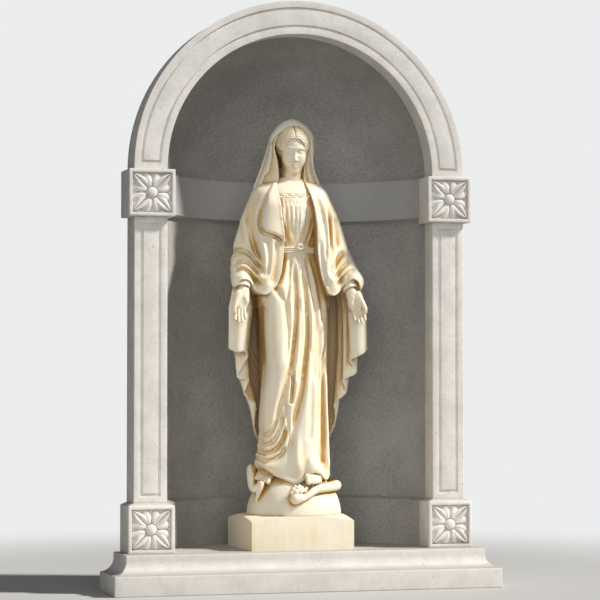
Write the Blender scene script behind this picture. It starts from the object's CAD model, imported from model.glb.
import bmesh
import bpy
import math
import numpy as np
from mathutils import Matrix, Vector


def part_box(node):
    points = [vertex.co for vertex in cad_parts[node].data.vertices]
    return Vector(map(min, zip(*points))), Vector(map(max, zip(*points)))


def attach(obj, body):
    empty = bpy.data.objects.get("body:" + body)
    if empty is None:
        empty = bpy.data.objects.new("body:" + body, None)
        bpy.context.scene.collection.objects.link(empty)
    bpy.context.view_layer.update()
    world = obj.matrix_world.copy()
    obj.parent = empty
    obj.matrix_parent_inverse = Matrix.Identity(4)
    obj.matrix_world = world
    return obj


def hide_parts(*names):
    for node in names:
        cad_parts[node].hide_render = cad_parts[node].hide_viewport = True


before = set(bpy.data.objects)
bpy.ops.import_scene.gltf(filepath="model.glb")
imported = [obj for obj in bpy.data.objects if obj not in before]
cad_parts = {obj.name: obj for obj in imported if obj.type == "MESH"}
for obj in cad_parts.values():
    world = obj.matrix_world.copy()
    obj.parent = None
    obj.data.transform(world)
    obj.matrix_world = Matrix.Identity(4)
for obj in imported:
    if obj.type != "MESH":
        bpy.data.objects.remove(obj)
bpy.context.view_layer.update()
scene = bpy.context.scene
print("frame loaded:", len(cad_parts), "nodes")


# clay: shapes as signed distances, in millimetres on the figure's own axis, heights from the hem

farAway = 900.0  # distance where there is no clay
tiny = 1e-6  # keeps divisions from zero
creaseRound = 3.2  # a crease no finer than the grid
plinthLow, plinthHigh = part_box("statue_plinth")  # the figure stands over the middle of its plinth
figurePlace = np.array([(plinthLow[0] + plinthHigh[0]) / 2, (plinthLow[1] + plinthHigh[1]) / 2,
                        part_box("globe")[1][2]])


def softMin(a, b, blend):
    if blend <= 0:
        return np.minimum(a, b)
    mix = np.clip(0.5 + 0.5 * (b - a) / blend, 0, 1)
    return b + (a - b) * mix - blend * mix * (1 - mix)


def softMax(a, b, blend):
    return -softMin(-a, -b, blend)


def fade(value, start, end):  # smooth step from 0 at start to 1 at end
    t = np.clip((value - start) / (end - start), 0, 1)
    return t * t * (3 - 2 * t)


def smoothLine(points, steps=8):  # a smooth curve through a few points of any dimension
    pts = np.array(points, float)
    ends = np.vstack([2 * pts[0] - pts[1], pts, 2 * pts[-1] - pts[-2]])
    t = np.linspace(0, 1, steps, endpoint=False)[:, None]
    parts = []
    for a, b, c, d in zip(ends[:-3], ends[1:-2], ends[2:-1], ends[3:]):
        parts.append(b + 0.5 * t * (c - a + t * (2 * a - 5 * b + 4 * c - d + t * (3 * (b - c) + d - a))))
    return np.vstack(parts + [pts[-1:]])


class Clay:  # a block of clay that shapes are added to and cut from
    def __init__(self, low, high, step):
        self.low, self.step = np.array(low, float), step
        self.axes = [np.arange(a, b + step, step) for a, b in zip(low, high)]
        self.field = np.full([len(a) for a in self.axes], farAway, np.float32)
        self.turn, self.place = np.eye(3), np.zeros(3)  # from the clay's axes to the figure's

    def grid(self, box=None, margin=0):
        cut = [slice(None)] * 3
        if box is not None:
            cut = [slice(*np.searchsorted(a, (l - margin, h + margin))) for a, l, h in zip(self.axes, *box)]
        x, y, z = [a[c].astype(np.float32) for a, c in zip(self.axes, cut)]
        return tuple(cut), x[:, None, None], y[None, :, None], z[None, None, :]

    def add(self, shape, blend=0.0):
        cut, x, y, z = self.grid(shape.box, 3 * blend + 4 * self.step)
        self.field[cut] = softMin(self.field[cut], shape.distance(x, y, z), blend)

    def carve(self, shape, blend=0.0):
        cut, x, y, z = self.grid(shape.box, 3 * blend + 4 * self.step)
        self.field[cut] = softMax(self.field[cut], -shape.distance(x, y, z), blend)

    def join(self, field, blend=0.0):
        self.field = softMin(self.field, field, blend).astype(np.float32)

    def trim(self, field, blend):  # keeps what lies where the field is negative
        self.field = softMax(self.field, field, blend).astype(np.float32)

    def read(self, points):  # distances at any points, between the grid's own
        g = (points - self.low) / self.step
        top = np.array(self.field.shape) - 1.001
        outside = ((g < 0) | (g > top)).any(1)
        g = np.clip(g, 0, top)
        i = g.astype(int)
        f = g - i
        value = np.zeros(len(points))
        for a in (0, 1):
            for b in (0, 1):
                for c in (0, 1):
                    weight = abs(1 - a - f[:, 0]) * abs(1 - b - f[:, 1]) * abs(1 - c - f[:, 2])
                    value += weight * self.field[i[:, 0] + a, i[:, 1] + b, i[:, 2] + c]
        return np.where(outside, farAway, value)


class Shape:
    def __init__(self, distance, box=None):
        self.distance, self.box = distance, box


def fromRuns(spots, pts):  # for each run of a line: how far along it spots lie, and their offsets from it
    for a, b in zip(pts[:-1], pts[1:]):
        run = b - a
        t = np.clip(sum((p - q) * r for p, q, r in zip(spots, a, run)) / max(run @ run, tiny), 0, 1)
        yield t, [p - q - t * r for p, q, r in zip(spots, a, run)]


def limb(points):  # a tapered tube; a point's fourth value is its radius
    pts = np.array(points, float)
    pts, radius = pts[:, :3], pts[:, 3]

    def distance(x, y, z):
        best = None
        for (t, off), ra, rb in zip(fromRuns((x, y, z), pts), radius[:-1], radius[1:]):
            d = np.sqrt(sum(o ** 2 for o in off)) - ra - t * (rb - ra)
            best = d if best is None else np.minimum(best, d)
        return best
    return Shape(distance, (pts.min(0) - radius.max(), pts.max(0) + radius.max()))


def smoothLimb(points, steps=5):
    return limb(smoothLine(points, steps))


def ovalDistance(spots, radii):  # nearly the distance to an oval or an egg
    k0 = np.sqrt(sum((p / r) ** 2 for p, r in zip(spots, radii))) + tiny
    k1 = np.sqrt(sum((p / r ** 2) ** 2 for p, r in zip(spots, radii))) + tiny
    return k0 * (k0 - 1) / k1


def egg(centre, radii):
    c, r = np.array(centre, float), np.array(radii, float)
    distance = lambda x, y, z: ovalDistance((x - c[0], y - c[1], z - c[2]), r)
    return Shape(distance, (c - r.max(), c + r.max()))


def loft(table):  # oval sections: height, half width, front, back, centre x, centre y
    rows = smoothLine(table, 10)

    def distance(x, y, z):
        a, front, back, cx, cy = [np.interp(z.ravel(), rows[:, 0], rows[:, i])[None, None, :] for i in range(1, 6)]
        dx, dy = x - cx, y - cy
        ends = np.maximum(rows[0, 0] - z, z - rows[-1, 0])
        return softMax(ovalDistance((dx, dy), (a, np.where(dy < 0, front, back))), ends, 6.0)
    return Shape(distance)


def lineDistance(x, z, points):  # distance in a plane to a line, and how far along it, 0 to 1
    pts = np.array(points, float)
    best = np.full(np.broadcast(x, z).shape, 1e6)
    along = np.zeros(best.shape)
    for i, (t, off) in enumerate(fromRuns((x, z), pts)):
        d = np.hypot(*off)
        near = d < best
        best = np.where(near, d, best)
        along = np.where(near, (i + t) / (len(pts) - 1), along)
    return best, along


def insideOf(x, z, points):  # signed distance to a closed outline in a plane, negative inside
    pts = list(points)
    best, _ = lineDistance(x, z, pts + pts[:1])
    odd = np.zeros(best.shape, bool)
    for (ax, az), (bx, bz) in zip(pts, pts[1:] + pts[:1]):
        if az != bz:
            crosses = (az > z) != (bz > z)
            odd ^= crosses & (x < ax + (z - az) * (bx - ax) / (bz - az))
    return np.where(odd, -best, best)


class Relief:  # folds drawn on the front or back, as heights over x and z
    def __init__(self, clay):
        self.x, self.z = clay.axes[0][:, None], clay.axes[2][None, :]
        self.height = np.zeros((len(clay.axes[0]), len(clay.axes[2])))

    def drawn(self, points, taper):
        away, along = lineDistance(self.x, self.z, smoothLine(points, 6))
        return away, fade(along, 0, taper) * fade(along, 1, 1 - taper) if taper else 1.0

    def fold(self, points, height, width, taper):
        away, ends = self.drawn(points, taper)
        self.height += height * ends * np.exp(-(away / width) ** 2)

    def valley(self, points, depth, width, taper):  # a narrow crease with rounded cloth on both sides
        away, ends = self.drawn(points, taper)
        away = np.hypot(away, creaseRound) - creaseRound
        self.height = np.minimum(self.height, -depth * ends * np.clip(1 - away / width, 0, 1) ** 2)

    def step(self, outline, height, soft):  # a layer of cloth with a crisp edge
        self.height += height * fade(insideOf(self.x, self.z, outline), soft, -soft)

    def over(self):
        return self.height[:, None, :].astype(np.float32)


def netMesh(clay):  # closed quad mesh where the clay's distance is zero
    field = clay.field
    inside = field < 0
    n = np.array(field.shape) - 1
    corners = [(i, j, k) for i in (0, 1) for j in (0, 1) for k in (0, 1)]
    total = sum(inside[i:n[0] + i, j:n[1] + j, k:n[2] + k].astype(np.int8) for i, j, k in corners)
    cells = np.argwhere((total > 0) & (total < 8))
    number = np.full(n, -1, np.int32)
    number[tuple(cells.T)] = np.arange(len(cells))
    values = np.stack([field[tuple((cells + c).T)] for c in corners], 1).astype(float)
    spots, hits = np.zeros((len(cells), 3)), np.zeros(len(cells))
    for a in range(8):
        for b in range(a + 1, 8):
            run = np.subtract(corners[b], corners[a])
            if abs(run).sum() == 1:
                cross = (values[:, a] < 0) != (values[:, b] < 0)
                t = np.where(cross, values[:, a] / np.where(cross, values[:, a] - values[:, b], 1), 0)
                spots += cross[:, None] * (np.array(corners[a]) + t[:, None] * run)
                hits += cross
    points = clay.low + clay.step * (cells + spots / hits[:, None])
    quads = []
    for axis in range(3):
        u, v = np.eye(3, dtype=int)[[(axis + 1) % 3, (axis + 2) % 3]]
        first = np.take(inside, range(n[axis]), axis)
        edges = np.argwhere(first != np.take(inside, range(1, n[axis] + 1), axis))
        edges = edges[((edges >= u + v) & (edges < n)).all(1)]
        ring = np.stack([number[tuple((edges - w).T)] for w in (u + v, v, 0 * u, u)], 1)
        outward = first[tuple(edges.T)]
        quads.append(np.where(outward[:, None], ring, ring[:, ::-1]))
    return points, np.vstack(quads)


def relaxed(points, faces, rounds):  # irons the grid's teeth out of edges, without shrinking the piece
    edges = np.vstack([faces[:, [i, (i + 1) % 4]] for i in range(4)])
    count = np.bincount(edges[:, 0], minlength=len(points))[:, None]
    for share in (0.5, -0.52) * rounds:
        total = np.stack([np.bincount(edges[:, 0], points[edges[:, 1], k], len(points)) for k in range(3)], 1)
        points = points + share * np.where(count > 0, total / np.maximum(count, 1) - points, 0)
    return points


# the figure's garments and body, one block of clay each

gownShape = {
    "step": 3.9, "block": ((-165, -160, -14), (175, 130, 1056)), "legBlend": 46, "instepBlend": 18,
    "front": (8, -48),  # y where the front folds begin and are full
    "gathers": (-52, 68, 13), "neckGather": (972, 935), "waistGather": (790, 744),
    "backFolds": (6, 11, 14, 0.5),  # height, number, their axis and start
    "backFade": (720, 500), "hemFront": (60, -40), "hemBack": 4, "hemSoft": 5.0,
    "flare": (9, 40, -6),  # the hem turns out over the globe: size, and heights where it begins and is full
    "rows": [  # height, half width, front, back, centre x, centre y
        (-6, 126, 112, 108, 14, 0), (40, 121, 106, 104, 15, 0), (130, 117, 98, 100, 16, 0),
        (260, 113, 94, 98, 15, 0), (380, 114, 92, 98, 13, 0), (500, 117, 92, 100, 12, 0),
        (600, 119, 92, 104, 11, 0), (660, 114, 90, 104, 9, 0), (730, 100, 82, 94, 7, 0),
        (797, 84, 72, 82, 4, 2), (850, 92, 84, 86, 2, 2), (905, 100, 93, 90, 0, 2),
        (955, 108, 86, 92, 0, 4), (995, 104, 66, 84, 0, 8), (1025, 74, 46, 62, 2, 12), (1050, 40, 30, 42, 4, 14),
    ],
    "bentLeg": [(-66, -40, 640, 56), (-60, -60, 480, 54), (-58, -66, 372, 50), (-70, -44, 220, 46),
                (-86, -30, 70, 44)],
    "valleys": [  # lines over x and z, depth, width
        ([(-4, 788), (-5, 713), (-3, 648), (-3, 583), (-8, 518), (-15, 470), (-25, 405), (-42, 350), (-56, 290),
          (-66, 240), (-84, 180)], 17, 24),
        ([(20, 788), (26, 713), (32, 632), (37, 551), (36, 486), (29, 421), (22, 356), (15, 308), (2, 263),
          (-8, 222), (-16, 170), (-22, 124), (-28, 70)], 18, 24),
        ([(34, 788), (46, 713), (56, 648), (67, 590), (70, 500), (66, 400), (64, 320)], 12, 20),
        ([(52, 784), (74, 713), (86, 655), (95, 600), (98, 540)], 11, 18),
        ([(106, 470), (103, 390), (101, 300), (98, 220), (96, 158), (92, 98), (98, 40)], 18, 24),
        ([(60, 480), (54, 400), (50, 276), (46, 190), (40, 140)], 11, 20),
        ([(82, 560), (82, 450), (80, 330), (76, 220), (72, 150)], 10, 17),
        ([(14, 640), (15, 480), (8, 400), (0, 340)], 8, 16),
        ([(-24, 430), (-20, 357), (-22, 300), (-26, 268)], 12, 12),
        ([(-16, 788), (-25, 693), (-35, 648), (-42, 606)], 10, 16),
        ([(-34, 784), (-46, 740), (-60, 700), (-74, 668)], 8, 15),
        ([(8, 788), (10, 740), (12, 690), (14, 620)], 8, 13),
        ([(-84, 672), (-74, 661), (-52, 628), (-42, 606), (-37, 557), (-35, 518), (-38, 470), (-46, 400)], 13, 20),
        ([(-112, 640), (-116, 557), (-115, 486), (-112, 430), (-112, 390), (-118, 350), (-128, 310)], 12, 18),
        ([(-134, 262), (-130, 210), (-116, 176), (-96, 172), (-78, 196), (-64, 240), (-54, 300)], 15, 18),
        ([(-134, 206), (-124, 160), (-108, 138), (-88, 142), (-70, 168), (-56, 208), (-44, 262)], 17, 19),
        ([(-134, 146), (-116, 112), (-92, 108), (-66, 126), (-46, 162), (-34, 210)], 17, 19),
        ([(-134, 100), (-108, 82), (-78, 86), (-52, 106), (-36, 136)], 13, 17),
        ([(-46, 300), (-40, 250), (-30, 200), (-26, 150), (-32, 96)], 11, 18),
    ],
    "ridges": [
        ([(6, 700), (8, 600), (8, 506), (4, 439), (-6, 373), (-2, 330), (-25, 256), (-49, 212), (-75, 172),
          (-104, 136), (-126, 144)], 4, 13),
        ([(38, 700), (50, 526), (48, 400), (44, 290), (34, 154), (22, 40)], 4, 14),
        ([(116, 420), (116, 325), (119, 196), (122, 90), (126, 30)], 7, 11),
        ([(-20, 250), (-12, 160), (-4, 90), (2, 20), (0, -6)], 9, 16),
        ([(30, 66), (42, 92), (57, 104), (74, 94), (84, 70)], 4, 8),
    ],
    "instep": ((56, -98, 44), (42, 36, 44)),  # cloth rounded over the right foot
    "hem": [(-160, 84), (-128, 74), (-106, 55), (-74, 30), (-44, 17), (-14, 0), (14, 14), (28, 32), (50, 42),
            (70, 36), (86, 18), (112, 14), (130, 28), (170, 40)],
    "bodice": [  # gathers: top x, foot x, top z, foot z, depth
        (-6, -6, 972, 808, 9), (-46, -15, 890, 803, 9), (22, 15, 900, 812, 6), (62, 32, 920, 806, 9),
        (40, 22, 965, 810, 8), (-24, -10, 968, 812, 8), (-60, -34, 900, 802, 8), (72, 50, 880, 804, 8),
        (8, 4, 970, 810, 7), (-38, -22, 966, 806, 7), (52, 28, 960, 808, 6), (26, 9, 968, 810, 6),
    ],
}


def makeGown():
    d = gownShape
    clay = Clay(*d["block"], d["step"])
    clay.add(loft(d["rows"]))
    clay.add(smoothLimb(d["bentLeg"], 4), d["legBlend"])
    clay.add(egg(*d["instep"]), d["instepBlend"])
    front = Relief(clay)
    for row in d["valleys"]:
        front.valley(*row, 0.12)
    for topX, footX, topZ, footZ, depth in d["bodice"]:
        middle = ((topX * 2 + footX) / 3, (topZ + footZ) / 2)
        front.valley([(topX, topZ), middle, (footX, footZ)], depth, 12, 0.3)
    (neckTop, neckFoot), (waistTop, waistFoot) = d["neckGather"], d["waistGather"]
    for x in np.arange(*d["gathers"]):
        front.valley([(x, neckTop), (x * 0.97, neckFoot)], 5, 7, 0.45)
        front.valley([(x * 0.75 + 1, waistTop), (x * 0.95, waistFoot)], 6, 7, 0.4)
    for row in d["ridges"]:
        front.fold(*row, 0.2)
    x, y, z = clay.grid()[1:]
    facing = fade(y, *d["front"])
    clay.field -= front.over() * facing
    height, count, axis, start = d["backFolds"]
    clay.field -= (1 - facing) * height * np.cos(count * np.arctan2(y, x - axis) + start) * fade(z, *d["backFade"])
    size, begin, full = d["flare"]
    clay.field -= size * fade(z, begin, full) * facing
    hemLine = np.array(d["hem"], float)
    low = np.interp(x.ravel(), hemLine[:, 0], hemLine[:, 1])[:, None, None] * fade(y, *d["hemFront"])
    low = low - d["hemBack"] * fade(y, *d["hemFront"][::-1])
    clay.trim(low - z, d["hemSoft"])
    return clay


mantleShape = {
    "step": 3.6, "block": ((-262, -125, 585), (272, 150, 1092)), "armBlend": 34, "drapeBlend": 40, "foot": 600,
    "lapelStep": (8.5, 2.6), "border": (3.5, 5), "front": (40, -20), "back": (10, 60), "openDepth": 34,
    "backFolds": (-150, -104, -62, -20, 24, 66, 108, 154), "backRise": 7,
    "rows": [
        (560, 150, 92, 128, 6, 0), (640, 150, 94, 126, 6, 0), (720, 138, 94, 122, 6, 0), (800, 124, 90, 116, 4, 2),
        (880, 120, 100, 112, 2, 4), (940, 122, 100, 108, 0, 6), (985, 120, 86, 98, 0, 8), (1015, 104, 62, 84, 2, 12),
        (1040, 82, 38, 70, 4, 16), (1064, 60, 26, 58, 4, 18), (1084, 44, 16, 46, 4, 20),
    ],
    "leftArm": [(-92, 6, 972, 46), (-122, 4, 900, 50), (-150, -2, 790, 54), (-168, -28, 728, 50),
                (-188, -62, 690, 36)],
    "rightArm": [(92, 6, 972, 46), (124, 4, 900, 50), (154, -2, 790, 54), (178, -28, 728, 52), (206, -62, 690, 38)],
    "drapes": [
        [(-84, -50, 930, 40), (-96, -62, 800, 40), (-108, -66, 700, 34), (-114, -60, 628, 27)],
        [(78, -50, 930, 38), (96, -60, 800, 40), (116, -64, 700, 36), (132, -58, 628, 27)],
    ],
    "leftEdge": [(-32, 1096), (-40, 1062), (-52, 1030), (-59, 1000), (-61, 970), (-56, 906), (-50, 865), (-45, 807),
                 (-50, 760), (-56, 716), (-70, 679), (-87, 655), (-111, 641), (-134, 648), (-151, 662), (-162, 681),
                 (-185, 693), (-205, 684), (-216, 664), (-236, 640), (-236, 560)],
    "rightEdge": [(34, 1096), (40, 1062), (46, 1020), (53, 980), (62, 921), (67, 872), (70, 807), (75, 760),
                  (85, 709), (99, 669), (109, 648), (132, 641), (149, 652), (166, 674), (180, 688), (196, 697),
                  (212, 690), (226, 664), (246, 640), (246, 560)],
    "lapel": [(-66, 1030), (-62, 977), (-52, 906), (-46, 865), (-41, 812), (-52, 822), (-64, 835), (-87, 846),
              (-111, 854), (-124, 876), (-116, 933), (-97, 987)],
    "valleys": [
        ([(-216, 766), (-192, 792), (-168, 786), (-144, 757), (-122, 722), (-108, 690)], 13, 20),
        ([(-219, 736), (-189, 753), (-165, 746), (-144, 723), (-128, 698)], 9, 15),
        ([(-222, 704), (-195, 727), (-172, 720), (-148, 695), (-131, 679), (-117, 672)], 11, 15),
        ([(-156, 960), (-150, 853), (-136, 790), (-119, 726)], 13, 24),
        ([(-178, 900), (-172, 830), (-164, 796)], 8, 18),
        ([(-112, 850), (-102, 800), (-104, 740), (-112, 690)], 11, 20),
        ([(-80, 836), (-76, 780), (-84, 710), (-96, 670)], 9, 18),
        ([(-99, 992), (-119, 934), (-128, 876), (-114, 849), (-88, 841), (-64, 830), (-46, 812)], 10, 11),
        ([(184, 796), (158, 774), (138, 744), (128, 716)], 12, 18),
        ([(204, 764), (176, 746), (146, 716), (128, 690)], 11, 17),
        ([(214, 736), (186, 718), (154, 692), (138, 670)], 9, 14),
        ([(118, 960), (124, 880), (124, 800), (119, 743), (120, 690)], 15, 24),
        ([(150, 920), (150, 850), (152, 800)], 9, 18),
        ([(70, 1000), (82, 940), (98, 870), (102, 800), (100, 730)], 11, 20),
        ([(84, 840), (86, 770), (98, 700), (112, 664)], 9, 17),
    ],
    "ridges": [
        ([(-205, 758), (-180, 774), (-155, 762), (-134, 740)], 4, 9),
        ([(-208, 722), (-184, 738), (-158, 720), (-138, 700)], 4, 8),
        ([(-136, 930), (-134, 850), (-120, 780), (-108, 720)], 4, 12),
        ([(108, 960), (111, 880), (110, 800), (108, 720)], 4, 12),
        ([(198, 746), (172, 730), (146, 704)], 4, 8),
    ],
}


def makeMantle():
    d = mantleShape
    clay = Clay(*d["block"], d["step"])
    clay.add(loft(d["rows"]))
    for arm in (d["leftArm"], d["rightArm"]):
        clay.add(smoothLimb(arm), d["armBlend"])
    for drape in d["drapes"]:
        clay.add(smoothLimb(drape, 4), d["drapeBlend"])
    front, back = Relief(clay), Relief(clay)
    for row in d["valleys"]:
        front.valley(*row, 0.2)
    for row in d["ridges"]:
        front.fold(*row, 0.25)
    front.step(d["lapel"], *d["lapelStep"])
    left, right = smoothLine(d["leftEdge"], 5), smoothLine(d["rightEdge"], 5)
    for edge in (left, right):  # a rolled border
        front.fold(edge, *d["border"], 0)
    for i, x0 in enumerate(d["backFolds"]):
        course = [(x0 * 0.45, 990), (x0 * 0.8, 860), (x0, 720), (x0 * 1.06, 590)]
        back.fold(course, d["backRise"] if i % 2 else -d["backRise"], 15, 0.25)
    y, z = clay.grid()[2:]
    clay.field -= front.over() * fade(y, *d["front"]) + back.over() * fade(y, *d["back"])
    opening = [tuple(p) for p in left] + [tuple(p) for p in right[::-1]]
    gap = insideOf(front.x, front.z, opening)[:, None, :]
    gap = np.where(y > d["openDepth"], -farAway, -gap)  # the back has no opening
    clay.trim(gap, 3.0)
    clay.trim(d["foot"] - z, 4.0)
    return clay


fallShape = {
    "step": 3.8, "block": ((-250, -84, 50), (276, 140, 700)), "thick": 9, "top": 688,
    "left": {  # height: points from the middle of the back, in pleats, to the front edge
        690: [(0, 112), (-70, 108), (-130, 92), (-176, 56), (-160, 34), (-180, 14), (-158, -4), (-188, -18),
              (-164, -30), (-176, -42), (-192, -44), (-204, -36)],
        600: [(0, 116), (-76, 110), (-142, 90), (-190, 52), (-158, 30), (-190, 12), (-150, -6), (-190, -20),
              (-148, -36), (-166, -58), (-196, -62), (-224, -44)],
        460: [(0, 116), (-78, 110), (-142, 86), (-184, 50), (-156, 28), (-184, 10), (-158, -8), (-198, -20),
              (-164, -36), (-176, -57), (-202, -62), (-225, -44)],
        360: [(0, 112), (-70, 104), (-124, 80), (-164, 48), (-142, 26), (-172, 10), (-150, -8), (-190, -20),
              (-160, -36), (-176, -52), (-198, -54), (-216, -42)],
        250: [(0, 108), (-54, 100), (-92, 78), (-124, 50), (-110, 30), (-140, 14), (-128, -2), (-160, -14),
              (-140, -26), (-150, -38), (-168, -40), (-180, -32)],
        60: [(0, 104), (-40, 98), (-66, 80), (-84, 56), (-76, 40), (-96, 26), (-90, 12), (-112, 2), (-100, -8),
             (-106, -16), (-118, -18), (-126, -12)],
    },
    "right": {
        690: [(0, 112), (74, 108), (140, 92), (190, 56), (174, 34), (196, 14), (176, -4), (206, -18), (184, -30),
              (198, -42), (214, -44), (226, -36)],
        600: [(0, 116), (86, 110), (160, 90), (212, 52), (184, 30), (218, 12), (188, -6), (228, -20), (198, -36),
              (214, -58), (238, -62), (257, -44)],
        460: [(0, 116), (88, 110), (162, 86), (208, 50), (182, 28), (214, 10), (190, -8), (232, -22), (204, -36),
              (218, -60), (242, -62), (259, -44)],
        360: [(0, 112), (86, 104), (152, 80), (194, 46), (174, 24), (208, 8), (188, -8), (228, -20), (202, -34),
              (216, -52), (234, -54), (248, -42)],
        250: [(0, 108), (80, 100), (140, 78), (180, 46), (166, 28), (194, 14), (180, 0), (210, -10), (194, -22),
              (204, -34), (218, -36), (228, -28)],
        60: [(0, 104), (66, 98), (112, 78), (142, 50), (132, 34), (152, 24), (144, 12), (164, 4), (154, -4),
             (160, -12), (170, -14), (178, -8)],
    },
    "leftHem": [66, 74, 104, 176, 268, 300, 352, 362, 424, 449, 446, 457],
    "rightHem": [66, 74, 104, 176, 268, 306, 352, 376, 418, 430, 442, 456],
    "waves": (2.2, 58), "waveEnd": (0.35, 0.2),  # size of the back folds, their spacing, and where they die away
}


def makeFall():
    d = fallShape
    clay = Clay(*d["block"], d["step"])
    x, y, z = clay.grid()[1:]
    x2, y2 = x[:, :, 0], y[:, :, 0]
    size, spacing = d["waves"]
    for side in ("left", "right"):
        heights = sorted(d[side])
        plans = np.array([d[side][h] for h in heights], float)
        hem = smoothLine([(h,) for h in d[side + "Hem"]], 5)[:, 0]
        for k, level in enumerate(clay.axes[2]):
            plan = [[np.interp(level, heights, plans[:, i, c]) for c in (0, 1)] for i in range(plans.shape[1])]
            line = smoothLine(plan, 5)
            run = np.gradient(line, axis=0)
            steps = np.hypot(*run.T)
            reach = np.cumsum(steps)
            out = np.stack([run[:, 1], -run[:, 0]], 1) / steps[:, None]
            wave = size * np.sin(2 * np.pi * reach / spacing) * fade(np.linspace(0, 1, len(line)), *d["waveEnd"])
            away, along = lineDistance(x2, y2, line + out * wave[:, None])
            bottom = np.interp(along, np.linspace(0, 1, len(hem)), hem)
            sheet = softMax(away - d["thick"] / 2, bottom - level, 4.0)
            clay.field[:, :, k] = np.minimum(clay.field[:, :, k], sheet)
    clay.trim(z - d["top"], 3.0)
    return clay


veilShape = {
    "step": 2.7, "block": ((-142, -66, 975), (142, 136, 1258)), "openDepth": 30,
    "axis": (3, 8), "backFolds": (4.5, 9), "backFade": (1215, 1080),
    "rows": [
        (975, 124, 40, 104, -2, 18), (1010, 119, 48, 102, -2, 16), (1035, 111, 52, 98, -2, 14),
        (1072, 97, 52, 92, -3, 12), (1111, 88, 52, 88, 0, 10), (1151, 84, 54, 84, 6, 8), (1190, 76, 54, 76, 8, 6),
        (1220, 57, 44, 58, 9, 4), (1240, 32, 26, 34, 8, 4), (1251, 5, 5, 6, 7, 4),
    ],
    "layers": [  # how far in, how thick, opening from the crown round by the right
        (0, 8, [(5, 1229), (25, 1223), (45, 1208), (60, 1182), (68, 1155), (72, 1125), (78, 1090), (92, 1045),
                (104, 1010), (110, 955), (-126, 955), (-122, 1029), (-111, 1060), (-90, 1117), (-81, 1148),
                (-68, 1172), (-57, 1191), (-39, 1206), (-17, 1221)]),
        (6, 11, [(5, 1222), (25, 1216), (44, 1202), (58, 1178), (62, 1150), (58, 1118), (54, 1092), (56, 1060),
                 (70, 1010), (74, 955), (-102, 955), (-94, 1041), (-79, 1066), (-70, 1107), (-67, 1139),
                 (-63, 1170), (-52, 1188), (-37, 1200), (-17, 1214)]),
        (14, 16, [(5, 1212), (30, 1206), (48, 1186), (54, 1150), (48, 1110), (44, 1080), (42, 1040), (42, 955),
                  (-44, 955), (-44, 1040), (-46, 1080), (-50, 1110), (-56, 1150), (-46, 1186), (-24, 1204)]),
    ],
    "grooves": [
        ([(-70, 1196), (-80, 1150), (-90, 1112), (-106, 1072), (-122, 1036)], 5, 4),
        ([(80, 1196), (84, 1150), (84, 1110), (92, 1070), (106, 1036)], 4, 4),
        ([(30, 1240), (58, 1214), (72, 1180)], 3, 6),
    ],
}


def makeVeil():
    d = veilShape
    clay = Clay(*d["block"], d["step"])
    x, y, z = clay.grid()[1:]
    relief = Relief(clay)
    for points, depth, width in d["grooves"]:
        relief.fold(points, -depth, width, 0.2)
    bell = loft(d["rows"]).distance(x, y, z) - relief.over() * fade(y, 40, 0)
    angle = np.arctan2(y - d["axis"][1], x - d["axis"][0])
    height, count = d["backFolds"]
    bell -= height * np.sin(count * angle) * fade(y, 0, 50) * fade(z, *d["backFade"])
    for inset, thick, opening in d["layers"]:
        outline = [tuple(p) for p in smoothLine(opening + opening[:1], 4)[:-1]]
        gap = insideOf(relief.x, relief.z, outline)[:, None, :]
        sheet = softMax(bell + inset, -(bell + inset + thick), 2.0)
        sheet = softMax(sheet, -np.maximum(gap, y - d["openDepth"]), 4.0)
        clay.join(sheet, 3.0)
    return clay


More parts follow.
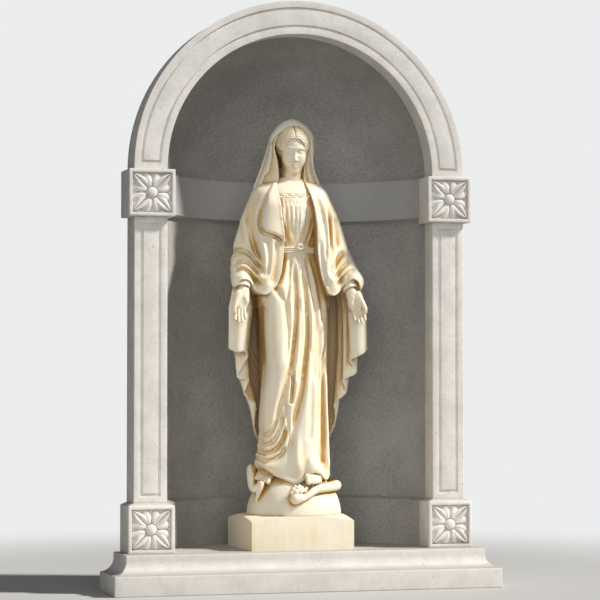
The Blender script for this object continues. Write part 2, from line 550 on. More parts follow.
headShape = {
    "step": 1.4, "block": ((-64, -80, -150), (64, 84, 92)),
    "place": (7, -6, 1142), "bow": 16, "turn": -6,  # degrees, downward and to the side
    "blends": {"face": 16, "jaw": 20, "chin": 14, "cheek": 18, "socket": 9, "brow": 10, "eye": 2, "nose": 7,
               "wing": 4, "upperLip": 4, "lowerLip": 4, "mouthLine": 2, "crease": 2.5, "lid": 1.5,
               "chinHollow": 6, "neck": 12},
    "cranium": ((0, 12, 22), (50, 62, 55)),
    "face": ((0, -10, -12), (42, 46, 62)),
    "jaw": ((0, -26, -49), (25, 24, 25)),
    "chin": ((0, -41, -64), (10.5, 10, 10)),
    "cheek": ((22, -32, -22), (15, 15, 21)),
    "socket": ((17.5, -57, 4), (12, 7.5, 7)),
    "eye": ((17.5, -40.5, 1.5), (11.5, 10.5, 9)),
    "nose": [(0, -47, 13, 4.2), (0, -54, -8, 4.6), (0, -61.5, -22, 5.2)],
    "wing": ((6.2, -55, -24), (4.6, 6, 4.2)),
    "brow": [(34, -38, 11, 3), (23, -46.5, 16.5, 3.4), (8, -49.5, 13, 3)],
    "lid": [(7, -51, -1.5, 0.9), (13, -52.8, -4.6, 1.0), (20, -52, -5.4, 1.0), (27.5, -46.5, -3, 0.9)],
    "crease": [(8, -52, 5.5, 0.9), (18, -53.5, 9, 1.0), (28, -46.5, 5.5, 0.9)],
    "upperLip": [(11.5, -47.5, -42, 1.9), (5, -53, -39.6, 2.9), (0, -53.8, -40.3, 2.7)],
    "lowerLip": [(9, -47.8, -45.8, 2.0), (4.5, -52, -47.6, 3.7), (0, -52.8, -48, 3.9)],
    "mouthLine": [(13, -48.5, -42.8, 0.9), (6, -55.5, -43.4, 1.0), (0, -57.4, -43.4, 1.0)],
    "chinHollow": ((0, -59, -56), (10, 5, 4)),
    "hair": ((0, 8, 20), (57, 67, 63)),
    "hairline": ((0, -66, -18), (47, 50, 76)),
    "hairWaves": (18, (2.6, 8), (1.2, 19)),  # height of their middle below the brow, then size and number
    "parting": (4.5, 2.2, 20, 40), "hairFoot": -38,
    "strand": (9.0, 1.7, 2.9, 0.55),  # spacing and height of the waved locks, and of the fine strands
    "neck": [(4, 16, 1000, 44), (5, 10, 1035, 37), (7, 2, 1090, 35)],
}


def makeHead():
    d = headShape
    clay = Clay(*d["block"], d["step"])
    bow, turn = math.radians(d["bow"]), math.radians(d["turn"])
    tilt = np.array([[1, 0, 0], [0, math.cos(bow), -math.sin(bow)], [0, math.sin(bow), math.cos(bow)]])
    spin = np.array([[math.cos(turn), -math.sin(turn), 0], [math.sin(turn), math.cos(turn), 0], [0, 0, 1]])
    clay.turn, clay.place = spin @ tilt, np.array(d["place"], float)
    blend = d["blends"]

    def form(part, side):  # an egg is a pair, a limb is a list
        if isinstance(part, tuple):
            return egg((side * part[0][0], *part[0][1:]), part[1])
        return smoothLimb([(side * p[0], *p[1:]) for p in part])
    clay.add(egg(*d["cranium"]))
    for parts, sides, work in (
            (("face", "jaw", "chin"), (1,), clay.add), (("cheek",), (-1, 1), clay.add),
            (("socket",), (-1, 1), clay.carve), (("brow",), (-1, 1), clay.add), (("eye",), (-1, 1), clay.add),
            (("nose",), (1,), clay.add), (("wing",), (-1, 1), clay.add),
            (("upperLip", "lowerLip"), (-1, 1), clay.add),
            (("mouthLine", "crease", "lid"), (-1, 1), clay.carve), (("chinHollow",), (1,), clay.carve)):
        for side in sides:
            for part in parts:
                work(form(d[part], side), blend[part])
    neck = [(*(clay.turn.T @ (np.array(p[:3]) - clay.place)), p[3]) for p in d["neck"]]
    clay.add(smoothLimb(neck), blend["neck"])
    x, y, z = clay.grid()[1:]
    cap = egg(*d["hair"]).distance(x, y, z)
    opening = egg(*d["hairline"]).distance(x, y, z)
    spacing, height, fineSpacing, fineHeight = d["strand"]
    middle, (broad, few), (slight, many) = d["hairWaves"]
    around = np.abs(np.arctan2(x, z + middle))
    course = opening + broad * np.sin(few * around) + slight * np.sin(many * around)
    waves = height * np.sin(2 * np.pi * course / spacing) + fineHeight * np.sin(2 * np.pi * course / fineSpacing)
    depth, width, *rise = d["parting"]
    cap = cap - waves + depth * np.exp(-(x / width) ** 2) * fade(z, *rise)
    hair = softMax(softMax(cap, -opening, 3.0), d["hairFoot"] - z, 8.0)
    clay.join(hair)
    return clay


handShape = {
    "step": 1.4, "blocks": {-1: ((-240, -118, 530), (-146, -30, 712)), 1: ((146, -118, 524), (264, -30, 712))},
    "cuff": [(-182, -52, 706, 29), (-186, -66, 684, 28), (-188, -74, 667, 26)],
    "wrist": [(-185, -62, 690, 17), (-189, -78, 660, 16), (-194, -84, 636, 15)],
    "wristSide": [(-181, -66, 676, 12), (-178, -80, 650, 12), (-181, -86, 620, 11)],
    "palm": ((-197, -86, 618), (25, 11, 35)),
    "thumbBall": ((-208, -91, 634), (12, 10, 22)),
    "thumb": [(-206, -90, 646, 10), (-217, -97, 612, 9), (-222, -100, 595, 7.4), (-222, -101, 582, 5.6)],
    "hollow": ((-193, -102, 612), (11, 6, 17)),
    "crease": [(-214, -100, 603, 1.8), (-203, -101, 611, 1.6), (-194, -100, 632, 1.5), (-190, -98, 648, 1.2)],
    "fingers": [  # base x, base z, tip x, tip z, radius
        (-219, 593, -218, 551, 6.0), (-207, 590, -205.5, 543, 6.2), (-195.5, 589, -194, 545, 5.9),
        (-185, 592, -182.5, 555, 5.2),
    ],
    "blends": {"wristSide": 8, "palm": 10, "hollow": 8, "thumbBall": 6, "thumb": 5, "finger": 1.6, "crease": 2.5},
    "groove": (2.5, 13, 2.2), "cuffThick": 5, "cuffLip": 3,  # depth, distance from the edge and width of the groove
    "oneWrist": (188, 660), "otherWrist": (194, 658, 8.5),  # the wrists' places, and the other's outward turn
}


def makeHand(side):
    d = handShape
    ox, oz, angle = d["otherWrist"]
    c, s = math.cos(math.radians(angle)), math.sin(math.radians(angle))

    def at(p):
        if side < 0:
            return tuple(p)
        dx, dz = -p[0] - d["oneWrist"][0], p[2] - d["oneWrist"][1]
        return (ox + dx * c - dz * s, p[1], oz + dz * c + dx * s, *p[3:])
    tube = lambda part: smoothLimb([at(p) for p in part])
    clay, blend = Clay(*d["blocks"][side], d["step"]), d["blends"]
    clay.add(tube(d["wrist"]))
    clay.add(tube(d["wristSide"]), blend["wristSide"])
    for part, work in (("palm", clay.add), ("hollow", clay.carve), ("thumbBall", clay.add)):
        work(egg(at(d[part][0]), d[part][1]), blend[part])
    clay.add(tube(d["thumb"]), blend["thumb"])
    for baseX, baseZ, tipX, tipZ, r in d["fingers"]:
        drop = baseZ - tipZ
        middle = (baseX * 0.5 + tipX * 0.5, -91, baseZ - 0.45 * drop, r * 0.93)
        knuckle, tip = (baseX, -88, baseZ, r), (tipX, -96, tipZ + 6, r * 0.8)
        clay.add(tube([(baseX, -84, baseZ + 12, r), knuckle, middle, tip]), blend["finger"])
    clay.carve(tube(d["crease"]), blend["crease"])
    foot, lip = np.array(at(d["cuff"][2])[:3]), np.array(at(d["cuff"][1])[:3])
    axis = (foot - lip) / np.linalg.norm(foot - lip)
    x, y, z = clay.grid()[1:]
    along = (x - foot[0]) * axis[0] + (y - foot[1]) * axis[1] + (z - foot[2]) * axis[2]
    sleeve = tube(d["cuff"]).distance(x, y, z)
    depth, back, width = d["groove"]
    band = sleeve + depth * np.exp(-((along + back) / width) ** 2)
    hollow = np.maximum(sleeve + d["cuffThick"], -d["cuffLip"] - along)
    band = softMax(softMax(band, along - d["cuffLip"], 2.0), -hollow, 2.0)
    clay.join(band)
    return clay


globeShape = {
    "centre": (13, 0, -102), "radii": (162, 152, 156), "foot": -102,
    "step": 5.0, "block": ((-156, -160, -108), (182, 162, 62)),
}


def roundGlobe(angle, z, lift):  # point at a compass angle and height, a lift off the surface
    (cx, cy, cz), (rx, ry, rz) = globeShape["centre"], globeShape["radii"]
    k = math.sqrt(max(1 - ((z - cz) / (rz + lift)) ** 2, 0))
    a = math.radians(angle)
    return cx + (rx + lift) * k * math.cos(a), cy + (ry + lift) * k * math.sin(a), z


def makeGlobe():
    d = globeShape
    clay = Clay(*d["block"], d["step"])
    x, y, z = clay.grid()[1:]
    clay.join(softMax(egg(d["centre"], d["radii"]).distance(x, y, z), d["foot"] - z, 1.5))
    return clay


feetShape = {
    "step": 1.5, "toeBlend": 1.4, "stepBlend": 8,
    "right": {  # toe tips with radii, then shift, y, z and share of the radius along each toe
        "toes": [(22, 0, 0, 10.2), (36, 0, 0, 8.4), (47, 2, 0, 7.6), (57, 6, 1, 7.0), (66, 12, 2, 6.2)],
        "line": [(3, -108, 31, 1.2), (2, -126, 29, 1.1), (1, -140, 21, 1.0), (0, -148, 11, 0.95)],
        "step": ((46, -104, 26), (27, 26, 17)), "box": ((0, -166, -10), (96, -60, 62)),
    },
    "left": {
        "toes": [(-97, 0, 0, 10.0), (-107, 7, 2, 8.4), (-116, 13, 5, 7.8), (-124, 19, 8, 7.1), (-131, 26, 11, 6.4)],
        "line": [(36, -26, 46, 1.2), (22, -44, 38, 1.15), (9, -60, 25, 1.0), (0, -69, 11, 0.95)],
        "step": ((-84, -28, 40), (26, 26, 20)), "box": ((-150, -96, -8), (-40, 16, 78)),
    },
}


def makeFoot(side):
    d = feetShape[side]
    clay = Clay(*d["box"], feetShape["step"])
    for tip, back, rise, r in d["toes"]:
        toe = [(tip + shift, y + back, z + rise, r * size) for shift, y, z, size in d["line"]]
        clay.add(smoothLimb(toe), feetShape["toeBlend"])
    clay.add(egg(*d["step"]), feetShape["stepBlend"])
    return clay


serpentShape = {
    "step": 2.4, "block": ((-206, -190, -104), (206, 190, 90)), "headBlend": 6, "mouthBlend": 2, "fruitBlend": 1.5,
    "course": [  # compass angle, height, lift, radius, from the head round the back
        (-97, -43, 10, 13), (-90, -36, 10, 12), (-82, -24, 10, 12.5), (-74, -14, 11, 14), (-62, -9, 12, 16),
        (-38, -6, 13, 17.5), (-8, -5, 13, 18), (40, -4, 13, 18), (80, -4, 13, 18), (120, -4, 13, 18),
        (142, -4, 14, 18),
    ],
    "tail": [  # x, y, z, radius: a loop beside the hem, then under the foot and down the globe
        (-112, 60, 8, 17.5), (-122, 38, 32, 17), (-128, 16, 50, 16.5), (-137, -2, 52, 16), (-142, -16, 38, 15.5),
        (-143, -26, 16, 15), (-142, -36, -6, 14.5), (-136, -48, -13, 14), (-126, -56, -5, 13), (-119, -60, 4, 12.5),
        (-120, -63, -4, 11.5), (-126, -62, -18, 10), (-129, -58, -36, 8), (-131, -54, -50, 6),
        (-131, -56, -58, 4.5), (-128, -62, -66, 2.4),
    ],
    "head": [((-25, -157, -43), (20, 17, 19)), ((-9, -157, -40), (16, 14, 15))],
    "mouth": [(-46, -170, -36, 1.8), (-30, -176, -33, 2.2), (-12, -175, -31, 1.8), (0, -170, -28, 1.2)],
    "fruit": [((-37, -156, -24), (9, 8, 7)), ((-24, -158, -20), (11, 10, 8)), ((-9, -158, -18), (11, 10, 8)),
              ((6, -154, -17), (9, 8, 7)),
              ((-31, -150, -12), (8, 8, 7)), ((-17, -151, -8), (9, 9, 7)), ((-3, -150, -7), (8, 8, 7)),
              ((13, -149, -10), (7, 7, 6)), ((-24, -145, -2), (6, 6, 5)), ((-10, -145, 0), (6, 6, 5))],
}


def makeSerpent():
    d = serpentShape
    clay = Clay(*d["block"], d["step"])
    body = [(*roundGlobe(a, z, lift), r) for a, z, lift, r in d["course"]] + d["tail"]
    clay.add(smoothLimb(body))
    for ball in d["head"]:
        clay.add(egg(*ball), d["headBlend"])
    clay.carve(limb(d["mouth"]), d["mouthBlend"])
    for ball in d["fruit"]:
        clay.add(egg(*ball), d["fruitBlend"])
    return clay


clays = {
    "gown": makeGown(), "mantle": makeMantle(), "mantle_fall": makeFall(), "veil": makeVeil(), "head": makeHead(),
    "left_hand": makeHand(-1), "right_hand": makeHand(1),
    "left_foot": makeFoot("left"), "right_foot": makeFoot("right"),
    "globe": makeGlobe(), "serpent": makeSerpent(),
}
print("figure modelled:", {name: clay.field.size for name, clay in clays.items()})


# node trees: one class wires any node, the other gives sockets their arithmetic

class Graph:
    def __init__(self, tree):
        self.tree = tree
        tree.nodes.clear()

    def node(self, kind, settings=None, sockets=None, out=0):
        made = self.tree.nodes.new(kind)
        for key, value in (settings or {}).items():
            setattr(made, key, value)
        for key, value in (sockets or {}).items():
            if isinstance(value, Wire):
                self.tree.links.new(value.socket, made.inputs[key])
            else:
                made.inputs[key].default_value = value
        return Wire(self, made.outputs[out]) if made.outputs else made


class Wire:
    def __init__(self, graph, socket):
        self.graph, self.socket = graph, socket

    def math(self, operation, *values):
        return self.graph.node("ShaderNodeMath", {"operation": operation}, dict(enumerate(values)))

    def __add__(self, other): return self.math("ADD", self, other)
    def __radd__(self, other): return self.math("ADD", other, self)
    def __sub__(self, other): return self.math("SUBTRACT", self, other)
    def __rsub__(self, other): return self.math("SUBTRACT", other, self)
    def __mul__(self, other): return self.math("MULTIPLY", self, other)
    def __rmul__(self, other): return self.math("MULTIPLY", other, self)

    def between(self, low, high):  # 0 at low, 1 at high, smooth
        return self.graph.node("ShaderNodeMapRange", {"interpolation_type": "SMOOTHSTEP"},
                               {"Value": self, "From Min": low, "From Max": high})

    def mixed(self, first, second):  # colour between two, by this value
        return self.graph.node("ShaderNodeMix", {"data_type": "RGBA"}, {0: self, 6: first, 7: second}, 2)


def newMaterial(name):
    made = bpy.data.materials.new(name)
    made.use_nodes = True
    g = Graph(made.node_tree)
    return made, g, g.node("ShaderNodeTexCoord", out="Object")


def noise(graph, coord, scale, detail=3.0, roughness=0.55):
    return graph.node("ShaderNodeTexNoise", None,
                      {"Vector": coord, "Scale": scale, "Detail": detail, "Roughness": roughness})


def finishMaterial(graph, colour, roughness, height, depth, strength, **fixed):
    bump = graph.node("ShaderNodeBump", None, {"Height": height, "Distance": depth, "Strength": strength})
    shader = graph.node("ShaderNodeBsdfPrincipled", None,
                        {"Base Color": colour, "Roughness": roughness, "Normal": bump,
                         **{k.replace("_", " "): v for k, v in fixed.items()}})
    graph.node("ShaderNodeOutputMaterial", None, {"Surface": shader})


stoneLook = {
    "pale": (0.80, 0.765, 0.71, 1), "dim": (0.66, 0.63, 0.58, 1), "pore": (0.34, 0.30, 0.25, 1),
    "mottle": (11.0, 6.0, 0.65), "sand": (520.0, 2.0), "patch": (70.0, 4.0, 0.7), "sparse": (60.0, 2.0),
    "poreScale": 46.0, "poreSize": 0.13, "settled": (0.40, 0.38, 0.345, 1), "dust": 0.7, "soil": 0.3,
}


def castStone():
    d = stoneLook
    made, g, coord = newMaterial("castStone")
    mottle = noise(g, coord, *d["mottle"])
    sand = noise(g, coord, *d["sand"])
    patch = noise(g, coord, *d["patch"])
    cell = g.node("ShaderNodeTexVoronoi", None, {"Vector": coord, "Scale": d["poreScale"]})
    sparse = noise(g, coord, *d["sparse"]).between(0.44, 0.57)
    pore = cell.between(d["poreSize"], d["poreSize"] * 0.3) * sparse
    shade = (mottle * 0.7 + patch * 0.3).between(0.36, 0.66)
    upward = g.node("ShaderNodeSeparateXYZ", None, {"Vector": g.node("ShaderNodeNewGeometry", out="Normal")}, "Z")
    low = g.node("ShaderNodeSeparateXYZ", None, {"Vector": coord}, "Z").between(0.2, 0.1)
    settled = upward.between(0.6, 1.0) * d["dust"] + low * d["soil"]
    colour = settled.mixed(shade.mixed(d["pale"], d["dim"]), d["settled"])
    colour = pore.mixed(colour, d["pore"])
    finishMaterial(g, colour, 0.78 + 0.12 * sand, sand * 0.35 + patch * 0.5 - pore * 1.4, 0.0016, 0.55)
    return made


stuccoLook = {
    "wall": {"pale": (0.42, 0.404, 0.376, 1), "dim": (0.285, 0.273, 0.253, 1),
             "grain": 150.0, "rise": 0.0042, "strength": 0.9},
    "band": {"pale": (0.44, 0.433, 0.42, 1), "dim": (0.36, 0.353, 0.342, 1),
             "grain": 330.0, "rise": 0.0012, "strength": 0.5},
}


def stucco(kind):
    d = stuccoLook[kind]
    made, g, coord = newMaterial(kind + "Stucco")
    grain = noise(g, coord, d["grain"], 4.0, 0.62)
    cloud = noise(g, coord, 5.0, 4.0, 0.6)
    crumb = g.node("ShaderNodeTexVoronoi", None, {"Vector": coord, "Scale": d["grain"] * 0.8})
    shade = (grain * 0.62 + cloud * 0.38).between(0.62, 0.36)
    colour = shade.mixed(d["pale"], d["dim"])
    finishMaterial(g, colour, 0.9 + 0.06 * grain, grain * 0.7 - crumb * 0.3, d["rise"], d["strength"])
    return made


ivoryLook = {
    "ivory": (0.87, 0.80, 0.645, 1), "warm": (0.80, 0.635, 0.365, 1),
    "ochre": (0.52, 0.325, 0.108, 1), "worn": (0.92, 0.885, 0.78, 1),
    "cloud": (9.0, 5.0, 0.6), "fine": (240.0, 3.0, 0.6), "streak": (1.0, 3.0, 0.6), "streakScale": (40.0, 40.0, 5.0),
}


def ivoryStone():
    d = ivoryLook
    made, g, coord = newMaterial("ivoryStone")
    stain, edge = [g.node("ShaderNodeAttribute", {"attribute_name": n}, out="Fac") for n in ("patina", "wear")]
    cloud = noise(g, coord, *d["cloud"])
    fine = noise(g, coord, *d["fine"])
    drawn = g.node("ShaderNodeMapping", None, {"Vector": coord, "Scale": d["streakScale"]})
    streak = noise(g, drawn, *d["streak"])
    wash = (cloud * 0.5 + streak * 0.5 + stain * 0.6).between(0.38, 0.86)
    deep = (stain + (fine - 0.5) * 0.12 + (streak - 0.5) * 0.25).between(0.2, 0.76)
    colour = deep.mixed(wash.mixed(d["ivory"], d["warm"]), d["ochre"])
    colour = (edge.between(0.18, 0.75) * 0.7).mixed(colour, d["worn"])
    finishMaterial(g, colour, 0.46 + 0.14 * fine + 0.2 * stain, fine * 0.6 + cloud * 0.4, 0.0006, 0.35, IOR=1.45)
    return made


stoneFinish, wallFinish, bandFinish, ivoryFinish = castStone(), stucco("wall"), stucco("band"), ivoryStone()
print("materials made")


# pieces of the figure

def place(obj, slot, *nodes):
    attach(obj, "root")
    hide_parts(*nodes)
    return obj


def newObject(name, data):
    made = bpy.data.objects.new(name, data)
    scene.collection.objects.link(made)
    return made


def dressed(name, mesh, material, smooth=True):
    mesh.materials.append(material)
    mesh.polygons.foreach_set("use_smooth", [smooth] * len(mesh.polygons))
    return newObject(name, mesh)


def meshPiece(name, points, faces, material, smooth=True):
    mesh = bpy.data.meshes.new(name)
    mesh.from_pydata([tuple(p) for p in points], [], [tuple(int(i) for i in f) for f in faces])
    return dressed(name, mesh, material, smooth)


def clayRead(clay, points):  # points on the figure's axes, in a clay that may be turned
    return clay.read((points - clay.place) @ clay.turn)


def nearest(points, names):
    return np.min([clayRead(clays[n], points) for n in names], 0)


relaxRounds, wearDepth = 5, 5
patinaReach = ((6.0, 0.18), (16.0, 0.36), (48.0, 0.5), (105.0, 0.4))
neighbours = {
    "gown": ["gown", "mantle", "mantle_fall"], "mantle": ["mantle", "gown", "veil"],
    "mantle_fall": ["mantle_fall", "gown", "mantle"],
    "veil": ["veil", "head", "mantle"], "head": ["head", "veil", "gown"], "left_hand": ["left_hand", "mantle"],
    "right_hand": ["right_hand", "mantle"], "left_foot": ["left_foot", "gown", "serpent"],
    "right_foot": ["right_foot", "gown", "serpent"],
    "globe": ["globe", "serpent", "gown"], "serpent": ["serpent", "globe", "gown"],
}


def sculpted(name):
    clay = clays[name]
    local, faces = netMesh(clay)
    local = relaxed(local, faces, relaxRounds)
    points = local @ clay.turn.T + clay.place
    piece = meshPiece(name.replace("_", "-") + "-carved", points / 1000 + figurePlace, faces, ivoryFinish)
    normals = np.zeros(len(points) * 3)
    piece.data.vertices.foreach_get("normal", normals)
    normals = normals.reshape(-1, 3)
    stain = sum(weight * np.clip(1 - nearest(points + normals * reach, neighbours[name]) / reach, 0, 1.3)
                for reach, weight in patinaReach)
    edge = np.clip(1 + clayRead(clay, points - normals * wearDepth) / wearDepth, 0, 1)
    for label, value in (("patina", stain), ("wear", edge)):
        piece.data.attributes.new(label, "FLOAT", "POINT").data.foreach_set("value", value.astype(np.float32))
    print("carved", name, len(faces) * 2, "triangles")
    return place(piece, "ivory_stone", name)


for name in clays:
    sculpted(name)


# what repeats or follows a line, by geometry nodes

def geometryGraph(name, **inputs):
    tree = bpy.data.node_groups.new(name, "GeometryNodeTree")
    for label, kind in inputs.items():
        tree.interface.new_socket(label, in_out="INPUT", socket_type="NodeSocket" + kind)
    tree.interface.new_socket("Geometry", in_out="OUTPUT", socket_type="NodeSocketGeometry")
    g = Graph(tree)
    entry = tree.nodes.new("NodeGroupInput")
    return tree, g, {s.name: Wire(g, s) for s in entry.outputs if s.name}


def closeGraph(g, geometry, material):
    real = g.node("GeometryNodeRealizeInstances", None, {"Geometry": geometry})
    painted = g.node("GeometryNodeSetMaterial", None, {"Geometry": real, "Material": material})
    g.node("NodeGroupOutput", None, {"Geometry": painted})


def grown(obj, tree, values):  # runs a tree on an object and keeps the result as a plain mesh
    modifier = obj.modifiers.new(tree.name, "NODES")
    modifier.node_group = tree
    for item in tree.interface.items_tree:
        if item.in_out == "INPUT" and item.name in values:
            modifier[item.identifier] = values[item.name]
    scene.view_layers[0].update()
    mesh = bpy.data.meshes.new_from_object(obj.evaluated_get(bpy.context.evaluated_depsgraph_get()))
    obj.modifiers.remove(modifier)
    name = obj.name
    bpy.data.objects.remove(obj)
    return newObject(name, mesh)


def cordTree():  # slanted beads along a line, as the lay of a twisted cord
    tree, g, given = geometryGraph("cordLay", Geometry="Geometry", Spacing="Float", Bead="Vector", Slant="Vector",
                                   Material="Material")
    spots = g.node("GeometryNodeCurveToPoints", {"mode": "LENGTH"},
                   {"Curve": given["Geometry"], "Length": given["Spacing"]}).socket.node
    ball = g.node("GeometryNodeMeshUVSphere", None, {"Segments": 12, "Rings": 8, "Radius": 1.0})
    soft = g.node("GeometryNodeSetShadeSmooth", None, {"Geometry": ball})
    bead = g.node("GeometryNodeTransform", None,
                  {"Geometry": soft, "Rotation": given["Slant"], "Scale": given["Bead"]})
    beads = g.node("GeometryNodeInstanceOnPoints", None, {
        "Points": Wire(g, spots.outputs["Points"]), "Instance": bead, "Rotation": Wire(g, spots.outputs["Rotation"])})
    closeGraph(g, beads, given["Material"])
    return tree


def lineObject(name, points):
    curve = bpy.data.curves.new(name, "CURVE")
    curve.dimensions = "3D"
    spline = curve.splines.new("POLY")
    spline.points.add(len(points) - 1)
    for p, spot in zip(spline.points, points):
        p.co = (*spot, 1)
    return newObject(name, curve)


def onGown(x, z, lift):  # front of the gown, found along y
    ys = np.arange(-140, 0, 1.0)
    d = clays["gown"].read(np.stack([np.full(len(ys), x), ys, np.full(len(ys), z)], 1))
    hit = np.argmax(d < 0)
    return (x, ys[hit] - lift, z)


girdleShape = {
    "heights": (789, 796, 803), "ends": (-66, 78), "lift": 1.5,
    "bead": (0.0037, 0.0037, 0.0062), "spacing": 0.0046, "slant": 0.7,
    "knot": (15, 806), "knotSize": (9, 8), "knotLift": 5,
    "knotBead": (0.0056, 0.0056, 0.0075), "knotSpacing": 0.005, "knotSlant": 0.6,
}
trimShape = {
    "height": 982, "ends": (-56, 48), "lift": 0.5, "wave": 4.2,
    "rows": [  # height from the middle, size of the wave, slant, spacing, bead
        (-7.5, 0.0, 0.0, 0.0045, (0.0021, 0.0021, 0.0030)), (0.0, 3.0, 0.9, 0.0098, (0.0030, 0.0030, 0.0062)),
        (8.0, 0.0, 0.0, 0.0045, (0.0021, 0.0021, 0.0030)),
    ],
}


def figureLine(points):
    return [np.array(p) / 1000 + figurePlace for p in points]


def joined(name, parts):
    mesh = bmesh.new()
    for part in parts:
        mesh.from_mesh(part.data)
    made = bpy.data.meshes.new(name)
    mesh.to_mesh(made)
    for part in parts:
        bpy.data.objects.remove(part)
    return dressed(name, made, ivoryFinish)


lay = cordTree()


def beaded(name, spots, spacing, bead, slant):
    return grown(lineObject(name, figureLine(spots)), lay, {
        "Spacing": spacing, "Bead": bead, "Slant": (0.0, slant, 0.0), "Material": ivoryFinish})


d = girdleShape
cords = []
for i, height in enumerate(d["heights"]):
    spots = [onGown(x, height, d["lift"]) for x in np.linspace(*d["ends"], 60)]
    cords.append(beaded(f"girdle-cord-{i}", spots, d["spacing"], d["bead"], d["slant"] if i % 2 else -d["slant"]))
(kx, kz), (wide, tall) = d["knot"], d["knotSize"]
turns = np.linspace(0, 2 * math.pi, 24)
spots = [onGown(kx + wide * math.cos(a), kz + tall * math.sin(a), d["knotLift"]) for a in turns]
cords.append(beaded("girdle-knot", spots, d["knotSpacing"], d["knotBead"], d["knotSlant"]))
place(joined("girdle-cord", cords), "ivory_stone", "girdle")

d = trimShape
rows = []
for offset, rise, slant, spacing, bead in d["rows"]:
    level = d["height"] + offset
    spots = [onGown(x, level + rise * math.sin(x / d["wave"]), d["lift"]) for x in np.linspace(*d["ends"], 160)]
    rows.append(beaded("neckline-row", spots, spacing, bead, slant))
trim = joined("neckline-trim", rows)
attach(trim, "root")
print("girdle and neckline laid")


rosetteShape = {
    "side": 131, "grid": 1.25, "designHalf": 58, "ground": 0.5,  # widths and runs are for a tile of this half side
    "petalWidth": 11.6, "petalAngle": 17.0, "petalRun": (12, 48), "petalRise": (7.6, 5.0), "rib": (0.9, 2.6, 1.3),
    "leafWidth": 16.4, "leafRun": (10, 69), "leafRise": (9.6, 4.6),
    "bossRadius": 16.4, "bossRise": (7.5, 9.0), "bossGroove": (2.2, 2.0),
}


def turned(u, v, degrees):
    c, s = math.cos(math.radians(degrees)), math.sin(math.radians(degrees))
    return u * c + v * s, v * c - u * s


def rosetteTile():  # carved tile as heights over a square, facing +z, centred
    d = rosetteShape
    half = d["side"] / 2
    axis = np.linspace(-half, half, int(d["side"] / d["grid"]) + 1)
    u, v = np.meshgrid(axis, axis, indexing="ij")
    height = np.full(u.shape, d["ground"])
    scale = half / d["designHalf"]
    (begin, length), (foot, swell), (ribDepth, ribAside, ribWidth) = d["petalRun"], d["petalRise"], d["rib"]
    for quarter in range(4):
        for offset in (-d["petalAngle"], d["petalAngle"]):
            along, across = turned(u, v, 90 * quarter + offset)
            t = np.clip((along / scale - begin) / length, 0, 1)
            wide = d["petalWidth"] * scale * np.clip(1 - (2 * t ** 1.35 - 1) ** 4, 0, 1) ** 0.5
            wide = wide * (0.45 + 0.55 * fade(t, 0, 0.6)) + tiny
            lobe = np.sqrt(np.clip(1 - (across / wide) ** 2, 0, 1))
            inside = (t > 0) & (t < 1)
            ribs = ribDepth * np.exp(-((np.abs(across) - ribAside) / ribWidth) ** 2) * fade(t, 0.8, 0.25)
            petal = (foot + swell * np.sin(math.pi * t ** 0.8)) * lobe ** 0.6 - ribs
            height = np.maximum(height, np.where(inside, petal, 0))
    (begin, length), (foot, swell) = d["leafRun"], d["leafRise"]
    for quarter in range(4):
        along, across = turned(u, v, 90 * quarter + 45)
        t = np.clip((along / scale - begin) / length, 0, 1)
        wide = d["leafWidth"] * scale * np.sin(math.pi * np.clip(t, 0, 1) ** 0.85) ** 0.8 * (1.1 - 0.25 * t) + tiny
        lobe = np.sqrt(np.clip(1 - ((np.abs(across) - wide * 0.52) / (wide * 0.5)) ** 2, 0, 1))
        inside = (t > 0) & (t < 1) & (np.abs(across) < wide)
        rise = foot + swell * fade(t, 0, 0.55)
        leaf = np.maximum(rise * (0.18 + 0.82 * lobe ** 0.8), np.where(lobe > 0.2, height, 0))
        height = np.where(inside, leaf, height)
    r = np.hypot(u, v)
    boss = d["bossRadius"] * scale
    (foot, swell), (groove, low) = d["bossRise"], d["bossGroove"]
    height = np.where(r < boss + groove, low, height)
    height = np.where(r < boss, foot + swell * np.sqrt(np.clip(1 - (r / boss) ** 2, 0, 1)), height)
    n = len(axis)
    points = [(u[i, j], v[i, j], height[i, j]) for i in range(n) for j in range(n)]
    firsts = [i * n + j for i in range(n - 1) for j in range(n - 1)]
    faces = [(k, k + n, k + n + 1, k + 1) for k in firsts]
    rim = [i * n for i in range(n)] + [(n - 1) * n + j for j in range(1, n)]
    rim += [i * n + n - 1 for i in range(n - 2, -1, -1)] + list(range(n - 2, 0, -1))
    below = len(points)
    points += [(points[i][0], points[i][1], -d["ground"]) for i in rim]
    for k, m in enumerate([*range(1, len(rim)), 0]):
        faces.append((rim[m], rim[k], below + k, below + m))
    faces.append(tuple(range(below + len(rim) - 1, below - 1, -1)))
    return meshPiece("rosette-tile", np.array(points) / 1000, faces, stoneFinish)


def tileTree():
    tree, g, given = geometryGraph("tilesOnBlocks", Geometry="Geometry", Tile="Object", Turn="Rotation",
                                   Material="Material")
    tile = g.node("GeometryNodeObjectInfo", None, {"Object": given["Tile"]}).socket.node
    copies = g.node("GeometryNodeInstanceOnPoints", None, {
        "Points": given["Geometry"], "Instance": Wire(g, tile.outputs["Geometry"]), "Rotation": given["Turn"]})
    closeGraph(g, copies, given["Material"])
    return tree


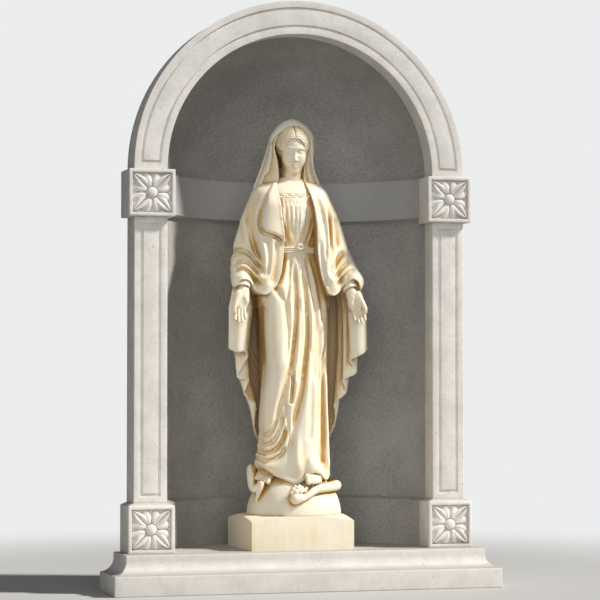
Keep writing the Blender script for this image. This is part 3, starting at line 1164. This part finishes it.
rosetteNodes = [f"{side}_{block}_rosette" for side in ("left", "right") for block in ("pedestal", "impost")]
spots = []
for node in rosetteNodes:
    low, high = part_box(node)
    spots.append(((low[0] + high[0]) / 2, high[1], (low[2] + high[2]) / 2))
tile = rosetteTile()
markers = bpy.data.meshes.new("rosettes")
markers.from_pydata(spots, [], [])
holder = newObject("rosettes", markers)
rosettes = grown(holder, tileTree(), {"Tile": tile, "Turn": (math.pi / 2, 0.0, 0.0), "Material": stoneFinish})
bpy.data.objects.remove(tile)
place(rosettes, "cast_stone", *rosetteNodes)
print("rosettes carved:", len(rosettes.data.polygons), "faces")


# the frame: cast blocks with their edges softened

edgeSoftness = {
    "base": 0.004, "statue_plinth": 0.006, "pedestal": 0.0035, "pilaster": 0.003, "impost": 0.0035, "arch": 0.003,
}
flatAngle, edgeAngle, shadeAngle = math.radians(1.0), math.radians(28), math.radians(32)


def softened(node, width, material, slot):
    mesh = bmesh.new()
    mesh.from_mesh(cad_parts[node].data)
    bmesh.ops.remove_doubles(mesh, verts=mesh.verts[:], dist=2e-5)
    bmesh.ops.dissolve_limit(mesh, angle_limit=flatAngle, verts=mesh.verts[:], edges=mesh.edges[:])
    sharp = [e for e in mesh.edges if len(e.link_faces) == 2 and e.calc_face_angle(0) > edgeAngle]
    bmesh.ops.bevel(mesh, geom=sharp, offset=width, segments=3, profile=0.6, affect="EDGES", clamp_overlap=True)
    bmesh.ops.triangulate(mesh, faces=[f for f in mesh.faces if len(f.verts) > 4])
    made = bpy.data.meshes.new(node + "-cast")
    mesh.to_mesh(made)
    obj = dressed(node.replace("_", "-") + "-cast", made, material)
    made.set_sharp_from_angle(angle=shadeAngle)
    return place(obj, slot, node)


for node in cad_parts:
    kind = node.split("_")[-1] if node not in edgeSoftness else node
    if kind in edgeSoftness:
        ivory = node == "statue_plinth"
        finish, slot = (ivoryFinish, "ivory_stone") if ivory else (stoneFinish, "cast_stone")
        softened(node, edgeSoftness[kind], finish, slot)
for node in ("niche_course", "niche_wall", "niche_band", "niche_conch"):
    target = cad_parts[node].data
    target.materials.clear()
    target.materials.append(bandFinish if node == "niche_band" else wallFinish)
print("frame dressed")


# floor, light and camera

studio = {
    "camera": (-2.10965, -7.4322, 0.68475), "yaw": 16.18, "pitch": 2.149, "lens": 134.76,
    "sunFrom": (0.698, -0.268, 0.664), "sunPower": 4.9, "sunSize": 5.0, "sky": (0.93, 0.96, 1.0, 1), "skyPower": 0.1,
    "fillFrom": (-0.22, -0.93, 0.29), "fillPower": 1.15, "fillSize": 60, "backdrop": (0.84, 0.845, 0.85, 1),
    "sunTint": (1.0, 0.97, 0.92), "fillTint": (0.97, 0.98, 1.0),
    "floorPale": (0.48, 0.48, 0.477, 1), "floorDim": (0.45, 0.45, 0.447, 1), "floorHalf": 4,
    "floorFade": (1.3, 3.2),  # the pale floor fades into the white studio over these radii
}

floorMaterial, g, coord = newMaterial("paleFloor")
paleMix = noise(g, coord, 1.5, 2.0).mixed(studio["floorDim"], studio["floorPale"])
away = g.node("ShaderNodeVectorMath", {"operation": "LENGTH"}, {0: coord}, "Value")
g.node("ShaderNodeOutputMaterial", None, {"Surface": g.node("ShaderNodeBsdfPrincipled", None, {
    "Base Color": paleMix, "Roughness": 0.9, "Alpha": 1 - away.between(*studio["floorFade"])})})
corners = [(x * studio["floorHalf"], y * studio["floorHalf"], 0) for x, y in ((-1, -1), (1, -1), (1, 1), (-1, 1))]
floor = meshPiece("floor", corners, [(0, 1, 2, 3)], floorMaterial, False)

world = bpy.data.worlds.new("studio")
scene.world = world
world.use_nodes = True
g = Graph(world.node_tree)
seen = g.node("ShaderNodeLightPath", out="Is Camera Ray")
soft = g.node("ShaderNodeBackground", None, {"Color": studio["sky"], "Strength": studio["skyPower"]})
white = g.node("ShaderNodeBackground", None, {"Color": studio["backdrop"], "Strength": 1.0})
g.node("ShaderNodeOutputWorld", None, {"Surface": g.node("ShaderNodeMixShader", None, {0: seen, 1: soft, 2: white})})
for name in ("sun", "fill"):
    light = bpy.data.lights.new(name, "SUN")
    light.energy, light.angle = studio[name + "Power"], math.radians(studio[name + "Size"])
    light.color = studio[name + "Tint"]
    lamp = newObject(name, light)
    lamp.rotation_mode = "QUATERNION"
    lamp.rotation_quaternion = Vector(studio[name + "From"]).to_track_quat("Z", "Y")
camera = newObject("camera", bpy.data.cameras.new("camera"))
camera.location = studio["camera"]
camera.rotation_euler = (math.radians(90 + studio["pitch"]), 0, math.radians(-studio["yaw"]))
camera.data.sensor_width, camera.data.lens = 36.0, studio["lens"]
scene.camera = camera
scene.view_settings.view_transform = "Standard"

print("done")
